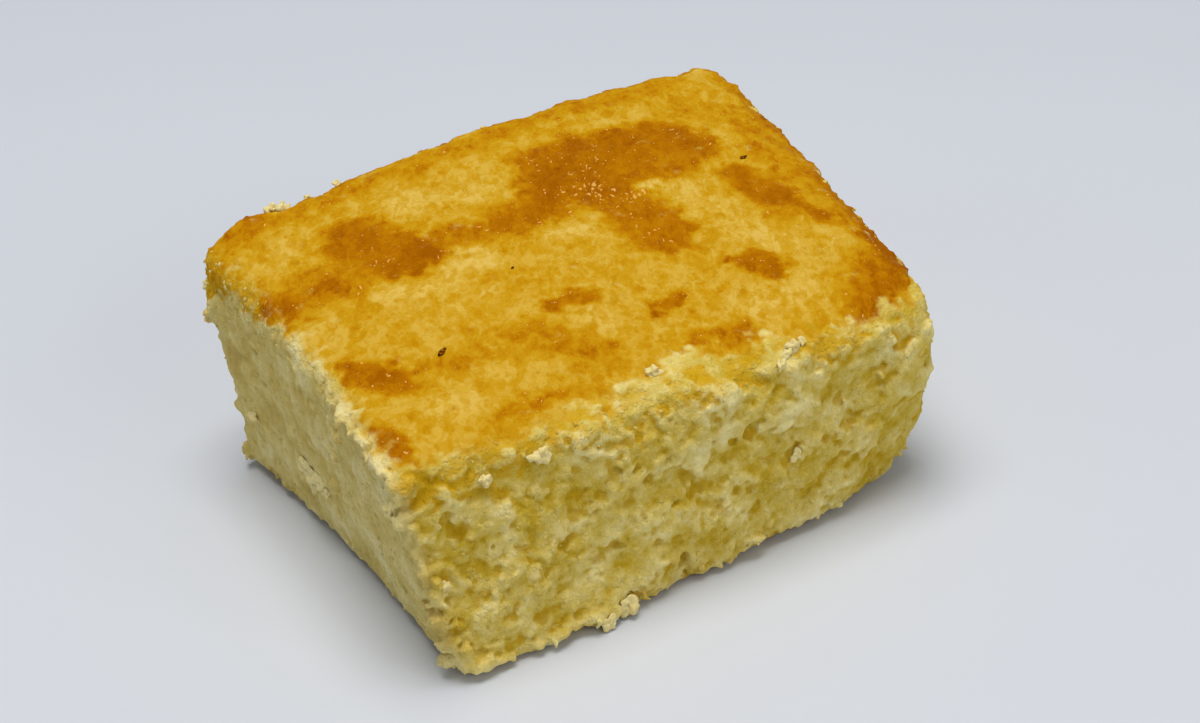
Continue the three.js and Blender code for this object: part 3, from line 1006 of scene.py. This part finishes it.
def crumb_grain_group(settings):
    """A shader group that gives the cut crumb its colour, roughness and fine relief. Its colour holds painted
    shade in hollows and pits and painted highlights on raised tips.
    """
    tree = bpy.data.node_groups.new("Crumb grain", "ShaderNodeTree")
    for name in ("Tone", "Hollow shade", "Pit", "Cut", "Tip highlight", "Stain"):
        tree.interface.new_socket(name, in_out="INPUT", socket_type="NodeSocketFloat").default_value = 0.0
    for name, kind in (("Color", "Color"), ("Roughness", "Float"), ("Height", "Float")):
        tree.interface.new_socket(name, in_out="OUTPUT", socket_type="NodeSocket" + kind)
    given = tree.nodes.new("NodeGroupInput").outputs
    place = millimetres(tree)
    wide = speckle(tree, place, 5.5, 2.0)
    middling = speckle(tree, shaken(tree, place, 2.5, 0.7), 2.2, 2.0, 0.6)
    small = speckle(tree, shaken(tree, place, 0.9, 0.3), 0.8, 2.0, 0.6)
    fine = speckle(tree, place, 0.32, 2.0, 0.65)
    pick, away = grains(tree, shaken(tree, place, 0.9, 0.18), 0.75)
    picked, near = grains(tree, place, 0.42)

    tone = calc(tree, "MULTIPLY_ADD", given["Tone"], 0.24, 0.46)
    noises = (wide, 1.5), (middling, 0.4), (small, 0.2), (fine, 0.15), (pick, 0.16), (picked, 0.1)
    tone = varied(tree, tone, *noises)
    # Painted light and shade: raised tips a little paler, hollows darker
    tone = plus(tree, tone, (given["Tip highlight"], 0.08), (given["Hollow shade"], -0.24))
    # hole and deep, the low stops, are reached in hollows as painted shade and cream on tips as painted
    # highlight, besides where the tone varies at random
    row = (settings.hole, settings.deep, settings.yellow, settings.pale, settings.cream, settings.grain)
    colour = tones(tree, tone, row)
    colour = blend(tree, calc(tree, "MULTIPLY", given["Cut"], 0.3), colour, settings.cut)
    stain_edge = varied(tree, given["Stain"], (middling, 1.1))
    # Painted shade: hollows take more of the golden stain, raised tips less
    stain_edge = plus(tree, stain_edge, (given["Tip highlight"], -0.35), (given["Hollow shade"], 0.45))
    colour = blend(tree, step(tree, stain_edge, 0.2, 0.75, 0.0, 0.8), colour, settings.stain)
    # Painted shade: the pits are painted a darker golden brown
    pit_edge = varied(tree, given["Pit"], (small, 0.8))
    colour = blend(tree, step(tree, pit_edge, 0.25, 1.0, 0.0, 0.6), colour, settings.pit)

    height = plus(tree, calc(tree, "MULTIPLY", fine, 0.7), (small, 0.6))
    for chance, beyond, strength in ((pick, away, 1.1), (picked, near, 0.6)):
        grain_edge = calc(tree, "MULTIPLY", step(tree, beyond, 0.65, 0.25), chance)
        height = plus(tree, height, (grain_edge, strength))
    rough = calc(tree, "MULTIPLY_ADD", fine, 0.2, 0.7)
    put(tree, "NodeGroupOutput", {"Color": colour, "Roughness": rough, "Height": height})
    return tree


def finish_material(tree, colour, roughness, height, relief, scatter, coat=None):
    """The material's surface: soft crumb that lets light in a little, with a fine relief in millimetres."""
    bump = put(tree, "ShaderNodeBump", {"Height": height, "Distance": relief * MM, "Strength": 1.0})
    inputs = {
        "Base Color": colour,
        "Roughness": roughness,
        "Normal": bump.outputs["Normal"],
        "Subsurface Weight": scatter,
        "Subsurface Radius": SCATTER_RADIUS,
        "Subsurface Scale": SCATTER_REACH,
        "IOR": CRUMB_IOR,
        "Specular IOR Level": CRUMB_SHINE,
    }
    if coat is not None:
        inputs.update({"Coat Weight": coat, "Coat Roughness": FAT_ROUGHNESS})
    show(tree, inputs)


def show(tree, inputs):
    """Puts the shader with those inputs on the material's surface."""
    surface = put(tree, "ShaderNodeBsdfPrincipled", inputs)
    put(tree, "ShaderNodeOutputMaterial", {"Surface": surface.outputs["BSDF"]})


def new_material(name):
    """An empty node material, and its tree."""
    material = bpy.data.materials.new(name)
    material.use_nodes = True
    material.node_tree.nodes.clear()
    return material, material.node_tree


def bread_material(crumb, crust):
    """Crust, crumb and baked underside in one, told apart by what the mesh keeps."""
    material, tree = new_material("cornbread")
    group = crumb_group()
    place = millimetres(tree)
    sunk, bend = read(tree, "sunk"), read(tree, "bend")
    # Painted shade: how deep a spot sits and how hollow it bends, close and wide, make the crumb darker and
    # more golden there; painted highlight: raised tips are paler
    hollow = calc(tree, "MULTIPLY", step(tree, sunk, 0.4, 1.4), 0.4)
    hollow = calc(tree, "MAXIMUM", hollow, step(tree, bend, -0.02, -0.2, 0.0, 0.8))
    hollow = calc(tree, "MAXIMUM", hollow, step(tree, read(tree, "bend_wide"), -0.06, -0.4, 0.0, 0.8))
    values = {name: read(tree, name.lower()) for name in ("Tone", "Pit", "Stain", "Cut")}
    values.update({"Hollow shade": hollow, "Tip highlight": step(tree, bend, 0.02, 0.14)})
    inside = put(tree, "ShaderNodeGroup", values, node_tree=group)

    # The crust: how brown, with golden spots that gather and melt together where it is browner
    wide = speckle(tree, place, 8, 1.0)
    middling = speckle(tree, shaken(tree, place, 2.2, 0.7), 2.6, 2.5, 0.6)
    small = speckle(tree, shaken(tree, place, 1.1, 0.4), 1.25, 2.0, 0.6)
    fine = speckle(tree, place, 0.42, 2.0, 0.6)
    baked = read(tree, "bake")
    turn_and_draw = {"Vector": place, "Rotation": (0.0, 0.0, math.radians(-32.0)), "Scale": (1.0, 1.5, 1.0)}
    drawn = put(tree, "ShaderNodeMapping", turn_and_draw, vector_type="TEXTURE").outputs[0]
    ruffled = shaken(tree, drawn, 1.5, 0.5)
    thick = calc(tree, "ADD", calc(tree, "MULTIPLY", baked, 0.8), calc(tree, "MULTIPLY_ADD", wide, 1.1, -0.1))
    mottle = calc(tree, "MULTIPLY", step(tree, speckle(tree, ruffled, 2.4, 2.5, 0.62), 0.46, 0.57), 0.3)
    ruffles = step(tree, speckle(tree, ruffled, 1.1, 2.0, 0.6), 0.47, 0.57)
    large, little = spots(tree, drawn, 2.3, thick), spots(tree, drawn, 1.2, thick)
    mottle = plus(tree, mottle, (ruffles, 0.18), (large, 0.2), (little, 0.16))
    mottle = calc(tree, "MULTIPLY", mottle, step(tree, baked, 0.35, 0.9, 0.75, 0.25))
    bake = calc(tree, "ADD", calc(tree, "ADD", baked, step(tree, baked, 0.3, 0.9, 0.3, 0.34)), mottle)
    bake = varied(tree, bake, (wide, 0.22), (fine, 0.26))
    golden = step(tree, bake, 0.3, 0.5)
    brown = step(tree, bake, 0.75, 0.95)
    stops = (crust.pale, crust.light_gold, crust.gold, crust.deep_gold, crust.brown, crust.dark)
    crust_colour = tones(tree, calc(tree, "MULTIPLY", bake, 0.72), stops)
    crust_height = plus(tree, calc(tree, "MULTIPLY", fine, 0.9), (golden, -0.45), (small, 0.9))
    # Painted highlight: where the glint noise peaks on brown crust, a pale orange is painted into the colour;
    # the same spots also get a real coat below
    painted_glint = plus(tree, speckle(tree, ruffled, 0.55, 1.0), (read(tree, "painted_glint"), 0.1))
    shine = calc(tree, "MULTIPLY", brown, step(tree, painted_glint, 0.69, 0.77))
    crust_colour = blend(tree, calc(tree, "MULTIPLY", shine, 0.65), crust_colour, crust.painted_glint)

    is_crust = plus(tree, calc(tree, "ADD", read(tree, "crust"), -0.65), (middling, 1.3))
    is_crust = step(tree, is_crust, 0.3, 0.8)
    skin_mottle = step(tree, plus(tree, wide, (middling, 0.6)), 0.6, 1.0)
    skin_colour = blend(tree, skin_mottle, crust.deep_gold, crust.brown)

    colour = blend(tree, is_crust, inside.outputs["Color"], crust_colour)
    colour = blend(tree, read(tree, "skin"), colour, skin_colour)
    crust_rough = step(tree, brown, 0.0, 1.0, 0.7, 0.5)
    rough = put(tree, "ShaderNodeMix", {0: is_crust, 2: inside.outputs["Roughness"], 3: crust_rough})
    height = put(tree, "ShaderNodeMix", {0: is_crust, 2: inside.outputs["Height"], 3: crust_height})
    coat = calc(tree, "MULTIPLY", calc(tree, "MULTIPLY", shine, 0.3), is_crust)
    finish_material(tree, colour, rough.outputs[0], height.outputs[0], BREAD_BUMP, crumb.scatter, coat)
    return material


def crumb_group():
    """The crumb's shader group, built once."""
    found = bpy.data.node_groups.get("Crumb grain")
    return found or crumb_grain_group(bpy.context.scene.cornbread_crumb)


def loose_crumb_material(name, colour, share):
    """Crumb like the bread's, drawn towards a colour by share."""
    scatter = bpy.context.scene.cornbread_crumb.scatter
    material, tree = new_material(name)
    values = {name: read(tree, name.lower()) for name in ("Tone", "Stain", "Cut")}
    # Painted highlight: loose crumbs are painted as raised tips, a little paler and less stained
    inside = put(tree, "ShaderNodeGroup", {"Tip highlight": 0.3, **values}, node_tree=crumb_group()).outputs
    shade = blend(tree, share, inside["Color"], colour)
    finish_material(tree, shade, inside["Roughness"], inside["Height"], LOOSE_BUMP, scatter)
    return material


def speck_material():
    """Burnt specks, near black in the middle."""
    settings = bpy.context.scene.cornbread_crust
    material, tree = new_material("burnt speck")
    mottle = speckle(tree, millimetres(tree), 0.3, 2.0)
    colour = blend(tree, step(tree, mottle, 0.4, 0.65), settings.burnt, settings.dark)
    rough = calc(tree, "MULTIPLY_ADD", mottle, 0.3, 0.4)
    finish_material(tree, colour, rough, mottle, SPECK_BUMP, 0.0)
    return material


def floor_material(settings):
    """A plain pale floor with a faint unevenness."""
    material, tree = new_material("floor")
    cloud = speckle(tree, millimetres(tree), 90, 2.0)
    paler = tuple(min(1, part * 1.03) for part in settings.floor_colour)
    colour = blend(tree, cloud, settings.floor_colour, paler)
    rough = calc(tree, "MULTIPLY_ADD", cloud, 0.1, 0.45)
    show(tree, {"Base Color": colour, "Roughness": rough, "IOR": 1.3})
    return material


def clinging_crumbs_tree(name, material, facets):
    """Geometry nodes that strew small uneven crumbs over the faces where the mesh says that they cling."""
    tree = bpy.data.node_groups.new(name, "GeometryNodeTree")
    for label, kind in (
        ("Geometry", "Geometry"),
        ("Crumb size", "Float"),
        ("Crumbs per square metre", "Float"),
        ("Seed", "Int"),
    ):
        socket = tree.interface.new_socket(label, in_out="INPUT", socket_type="NodeSocket" + kind)
        if label == "Crumb size":
            socket.subtype = "DISTANCE"
    tree.interface.new_socket("Geometry", in_out="OUTPUT", socket_type="NodeSocketGeometry")
    given = tree.nodes.new("NodeGroupInput").outputs
    cling = put(tree, "GeometryNodeInputNamedAttribute", {"Name": "cling"}, data_type="FLOAT").outputs[0]
    place = tree.nodes.new("GeometryNodeInputPosition").outputs[0]
    cloud = put(tree, "ShaderNodeTexNoise", {"Vector": place, "Scale": 110.0, "Detail": 1.0}).outputs["Fac"]
    gathered = step(tree, cloud, 0.42, 0.66, 0.12, 1.0)
    thick = calc(tree, "MULTIPLY", calc(tree, "MULTIPLY", cling, gathered), given[2])
    inputs = {"Mesh": given["Geometry"], "Density": thick, "Seed": given["Seed"]}
    spots = put(tree, "GeometryNodeDistributePointsOnFaces", inputs).outputs
    kinds = put(tree, "GeometryNodeGeometryToInstance")
    for number in range(CRUMB_KINDS):
        ball = put(tree, "GeometryNodeMeshIcoSphere", {"Radius": 1.0, "Subdivisions": facets}).outputs["Mesh"]
        inputs = {"Vector": place, "W": number * 3.1 + 0.7, "Scale": 0.9}
        offset = wobble(tree, inputs, 0.7, noise_dimensions="4D")
        shaped = put(tree, "GeometryNodeSetPosition", {"Geometry": ball, "Offset": offset})
        tree.links.new(shaped.outputs[0], kinds.inputs[0])

    def drawn(low, high, seed):
        """A random turn or size for each crumb."""
        inputs = {0: low, 1: high, "Seed": seed}
        return put(tree, "FunctionNodeRandomValue", inputs, data_type="FLOAT_VECTOR").outputs[0]

    turn = drawn((0.0, 0.0, 0.0), (math.tau,) * 3, 7)
    uneven = drawn((0.5, 0.45, 0.4), (1.0, 0.85, 0.75), 8)
    draw = put(tree, "FunctionNodeRandomValue", {2: 0.0, 3: 1.0, "Seed": 9}, data_type="FLOAT").outputs[1]
    grown = calc(tree, "MULTIPLY_ADD", calc(tree, "POWER", draw, 3.0), 1.3, 0.55)
    sized = vector(tree, "SCALE", uneven, calc(tree, "MULTIPLY", grown, given["Crumb size"]))
    sink = vector(tree, "SCALE", spots["Normal"], calc(tree, "MULTIPLY", given["Crumb size"], -0.4))
    sunk = put(tree, "GeometryNodeSetPosition", {"Geometry": spots["Points"], "Offset": sink}).outputs[0]
    inputs = {"Points": sunk, "Instance": kinds.outputs[0], "Rotation": turn, "Scale": sized}
    strewn = put(tree, "GeometryNodeInstanceOnPoints", {**inputs, "Pick Instance": True}).outputs[0]
    real = put(tree, "GeometryNodeRealizeInstances", {"Geometry": strewn}).outputs[0]
    painted = put(tree, "GeometryNodeSetMaterial", {"Geometry": real, "Material": material}).outputs[0]
    put(tree, "NodeGroupOutput", {0: painted})
    return tree


# ---- What a user may change ----


def colour_property(name, description, *shown):
    """A colour setting whose default is given as a screen shows it."""
    return FloatVectorProperty(
        name=name, description=description, default=linear(*shown), size=3, min=0, max=1, subtype="COLOR"
    )


def length_property(name, description, default, low=0.0, high=10.0):
    """A length setting, given in millimetres."""
    limits = {"default": default * MM, "min": low * MM, "max": high * MM}
    return FloatProperty(name=name, description=description, precision=5, unit="LENGTH", **limits)


def number_property(name, description, default, high=1e9, **more):
    """A setting from 0 up to high."""
    return FloatProperty(name=name, description=description, default=default, min=0, max=high, **more)


class CrumbSettings(PropertyGroup):
    """The cut crumb of the sides."""

    cell: length_property("Net cell", "Edge of the cubes that the surface is worked out on", 0.3, 0.2, 2)
    triangles: IntProperty(
        name="Triangles", description="Most triangles of the bread's surface", default=197000, min=1000
    )
    relief: number_property("Relief", "How strong the cut sides' soft relief is", 1, 3)
    seed: IntProperty(name="Seed", description="Fixes the draw of lumps and holes", default=11)
    crumb_size: length_property("Crumb size", "Half width of a usual clinging crumb", 0.42)
    crumb_count: number_property("Crumbs per square metre", "How thickly crumbs cling to the sides", 100000)
    grain_size: length_property("Grain size", "Half width of a usual clinging grain", 0.28)
    grain_count: number_property("Grains per square metre", "How thickly grains cling to the sides", 1700000)
    scatter: number_property("Scatter", "How much light goes into the crumb", 0.3, 1)
    pale: colour_property("Pale", "Palest tone of the crumb", 218, 196, 109)
    # cream shows most on raised tips and curds, partly as painted highlight
    cream: colour_property("Cream", "Tone of the crumb's raised parts", 227, 209, 134)
    yellow: colour_property("Yellow", "Yellow tone of the crumb", 208, 182, 84)
    # deep and hole show most in dips and holes, partly as painted shade
    deep: colour_property("Deep", "Tone of shallow dips", 198, 167, 54)
    hole: colour_property("Hole", "Tone inside the holes", 186, 151, 30)
    grain: colour_property("Grain", "Pale grains", 234, 219, 152)
    flake: colour_property("Flake", "Drawn towards this are the larger loose flakes", 231, 217, 160)
    cut: colour_property("Cut face", "Drawn towards this where a knife cut smoothly", 217, 203, 156)
    # Colour of the painted shade inside the pits
    pit: colour_property("Pit", "Golden brown inside the pits", 186, 146, 22)
    stain: colour_property("Stain", "Golden stains under the crust", 205, 160, 20)


class CrustSettings(PropertyGroup):
    """The browned crust on top and underneath."""

    pale: colour_property("Pale", "Palest crust", 218, 185, 96)
    light_gold: colour_property("Light gold", "Between pale and golden", 205, 165, 58)
    gold: colour_property("Gold", "Golden crust", 195, 148, 22)
    deep_gold: colour_property("Deep gold", "Round the brown patches", 186, 131, 7)
    brown: colour_property("Brown", "The brown patches", 175, 111, 2)
    dark: colour_property("Dark", "The darkest edges", 152, 86, 0)
    # The colour of the painted highlights (glints) on the brown patches
    painted_glint: colour_property("Glint", "Fat that glints on the brown patches", 240, 184, 92)
    burnt: colour_property("Burnt", "The burnt specks", 46, 26, 14)


class StageSettings(PropertyGroup):
    """The floor, the light and the camera."""

    floor_colour: colour_property("Floor", "The floor's colour", 204, 209, 217)
    light: number_property("Light", "Strength of the main light", 8.35, unit="POWER")
    lens: FloatProperty(name="Lens", description="Focal length of the camera", default=72, min=10)


# ---- Operators ----


class CORNBREAD_OT_bread(Operator):
    """Make the square of bread with its crust, cut crumb and underside"""

    bl_idname = "cornbread.make_bread"
    bl_label = "Bread"

    def execute(self, context):
        crumb, crust = context.scene.cornbread_crumb, context.scene.cornbread_crust
        bread = new_object("cornbread_square", bread_mesh(crumb))
        bread.data.materials.append(bread_material(crumb, crust))
        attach(bread, "root")
        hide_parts("cornbread")
        return {"FINISHED"}


class CORNBREAD_OT_crumbs(Operator):
    """Strew small crumbs over the cut sides"""

    bl_idname = "cornbread.make_crumbs"
    bl_label = "Clinging crumbs"

    def execute(self, context):
        settings = context.scene.cornbread_crumb
        material = loose_crumb_material("clinging crumb", settings.cream, 0.05)
        for name, facets, size, count in (
            ("clinging_crumbs", 2, settings.crumb_size, settings.crumb_count),
            ("clinging_grains", 1, settings.grain_size, settings.grain_count),
        ):
            ground = new_object("crumb_ground", bpy.data.objects["cornbread_square"].data.copy())
            strew = ground.modifiers.new("strew", "NODES")
            strew.node_group = clinging_crumbs_tree(name, material, facets)
            values = {"Crumb size": size, "Crumbs per square metre": count, "Seed": settings.seed + facets}
            for item in strew.node_group.interface.items_tree:
                if item.name in values:
                    strew[item.identifier] = values[item.name]
            crumbs = new_object(name, applied(ground, name))
            if not crumbs.data.polygons:
                raise RuntimeError("no crumb clings to the bread")
            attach(crumbs, "root")
        return {"FINISHED"}


class CORNBREAD_OT_flakes(Operator):
    """Lay the larger pale crumbs and flakes on the bread"""

    bl_idname = "cornbread.make_flakes"
    bl_label = "Pale flakes"

    def execute(self, context):
        settings = context.scene.cornbread_crumb
        bread = bpy.data.objects["cornbread_square"].data
        flakes = new_object("pale_flakes", joined_crumbs("pale_flakes", FLAKES, bread, 0.3))
        flakes.data.materials.append(loose_crumb_material("pale flake", settings.flake, 0.7))
        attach(flakes, "root")
        return {"FINISHED"}


class CORNBREAD_OT_specks(Operator):
    """Set the burnt specks in the crust"""

    bl_idname = "cornbread.make_specks"
    bl_label = "Burnt specks"

    def execute(self, context):
        bread = bpy.data.objects["cornbread_square"].data
        specks = new_object("burnt_specks", joined_crumbs("burnt_specks", SPECKS, bread, 0.2))
        specks.data.materials.append(speck_material())
        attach(specks, "root")
        return {"FINISHED"}


class CORNBREAD_OT_stage(Operator):
    """Lay the floor, hang the lights and set up the camera"""

    bl_idname = "cornbread.make_stage"
    bl_label = "Stage"

    def execute(self, context):
        settings = context.scene.cornbread_stage
        corners = [(x * FLOOR_HALF, y * FLOOR_HALF, 0) for x, y in ((-1, -1), (1, -1), (1, 1), (-1, 1))]
        floor = new_object("floor", new_mesh("floor", corners, [(0, 1, 2), (0, 2, 3)]))
        floor.data.materials.append(floor_material(settings))

        for name, place, size, share, tint in LIGHTS:
            data = bpy.data.lights.new(name, "AREA")
            data.shape = "RECTANGLE"
            data.size, data.size_y = size
            data.energy = settings.light * share
            data.color = tint
            lamp = bpy.data.objects.new(name, data)
            lamp.location = place
            lamp.rotation_euler = (-Vector(place)).to_track_quat("-Z", "Y").to_euler()
            context.scene.collection.objects.link(lamp)

        world = bpy.data.worlds.new("studio")
        world.use_nodes = True
        sky = world.node_tree.nodes["Background"]
        sky.inputs["Color"].default_value = SKY
        sky.inputs["Strength"].default_value = WORLD_STRENGTH
        context.scene.world = world

        data = bpy.data.cameras.new("camera")
        data.lens = settings.lens
        data.sensor_width = 36
        camera = bpy.data.objects.new("camera", data)
        right, up = Vector(CAMERA_RIGHT), Vector(CAMERA_UP)
        turn = Matrix((right, up, right.cross(up))).transposed().to_4x4()
        camera.matrix_world = Matrix.Translation(Vector(CAMERA_PLACE) * MM) @ turn
        context.scene.collection.objects.link(camera)
        context.scene.camera = camera
        context.scene.view_settings.view_transform = "Standard"
        return {"FINISHED"}


class CORNBREAD_PT_panel(Panel):
    """Lists what the bread is made of"""

    bl_label = "Cornbread"
    bl_idname = "CORNBREAD_PT_panel"
    bl_space_type = "VIEW_3D"
    bl_region_type = "UI"
    bl_category = "Cornbread"

    def draw(self, context):
        for operator in MAKERS:
            self.layout.operator(operator.bl_idname)
        for settings in (
            context.scene.cornbread_crumb,
            context.scene.cornbread_crust,
            context.scene.cornbread_stage,
        ):
            box = self.layout.box()
            for name in settings.__annotations__:
                box.prop(settings, name)


MAKERS = (
    CORNBREAD_OT_bread,
    CORNBREAD_OT_crumbs,
    CORNBREAD_OT_flakes,
    CORNBREAD_OT_specks,
    CORNBREAD_OT_stage,
)
CLASSES = (CrumbSettings, CrustSettings, StageSettings, *MAKERS, CORNBREAD_PT_panel)


def register():
    for each in CLASSES:
        bpy.utils.register_class(each)
    bpy.types.Scene.cornbread_crumb = PointerProperty(type=CrumbSettings)
    bpy.types.Scene.cornbread_crust = PointerProperty(type=CrustSettings)
    bpy.types.Scene.cornbread_stage = PointerProperty(type=StageSettings)


def unregister():
    del bpy.types.Scene.cornbread_stage
    del bpy.types.Scene.cornbread_crust
    del bpy.types.Scene.cornbread_crumb
    for each in reversed(CLASSES):
        bpy.utils.unregister_class(each)


def main():
    """Builds the whole scene."""
    register()
    bpy.ops.cornbread.make_bread()
    bpy.ops.cornbread.make_crumbs()
    bpy.ops.cornbread.make_flakes()
    bpy.ops.cornbread.make_specks()
    bpy.ops.cornbread.make_stage()


if __name__ == "__main__":
    main()
